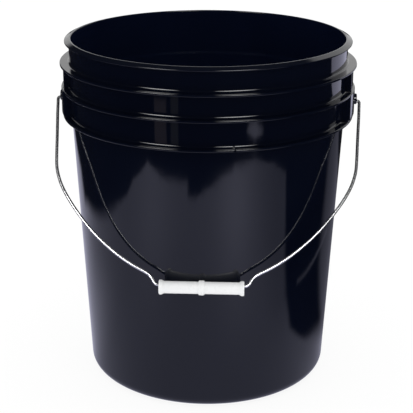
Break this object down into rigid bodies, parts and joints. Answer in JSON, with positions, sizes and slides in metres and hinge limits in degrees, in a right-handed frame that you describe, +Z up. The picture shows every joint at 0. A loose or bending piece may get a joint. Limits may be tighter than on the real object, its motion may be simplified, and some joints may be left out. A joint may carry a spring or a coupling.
{
  "type": "plastic fermenting bucket",
  "caption": "Open black plastic brewing pail with stiffening rings, moulded ears, and a swinging wire bail with a loose tube grip.",
  "frame": {"origin": "on the pail's axis, at the plane that its foot stands on", "axes": "+Z up along the pail's axis, X along the bail's pivot axis, -Y towards the wall that the bail rests on"},
  "size_m": [0.324, 0.3114, 0.3683],
  "materials": {
    "black_plastic": "glossy moulded black HDPE",
    "galvanised_wire": "bright drawn galvanised steel wire",
    "white_plastic": "smooth moulded white plastic"
  },
  "bodies": {
    "pail": {"pail_body": "black_plastic"},
    "bail": {"bail_wire": "galvanised_wire"},
    "grip": {"grip": "white_plastic"}
  },
  "joints": [
    {"name": "bail_swing", "type": "hinge", "parent": "pail", "child": "bail", "pos_m": [0, 0, 0.2998], "axis": [-1, 0, 0], "range_deg": [0, 274]},
    {"name": "grip_spin", "type": "hinge", "parent": "bail", "child": "grip", "pos_m": [0, -0.14517, 0.1438], "axis": [1, 0, 0], "continuous": true}
  ]
}
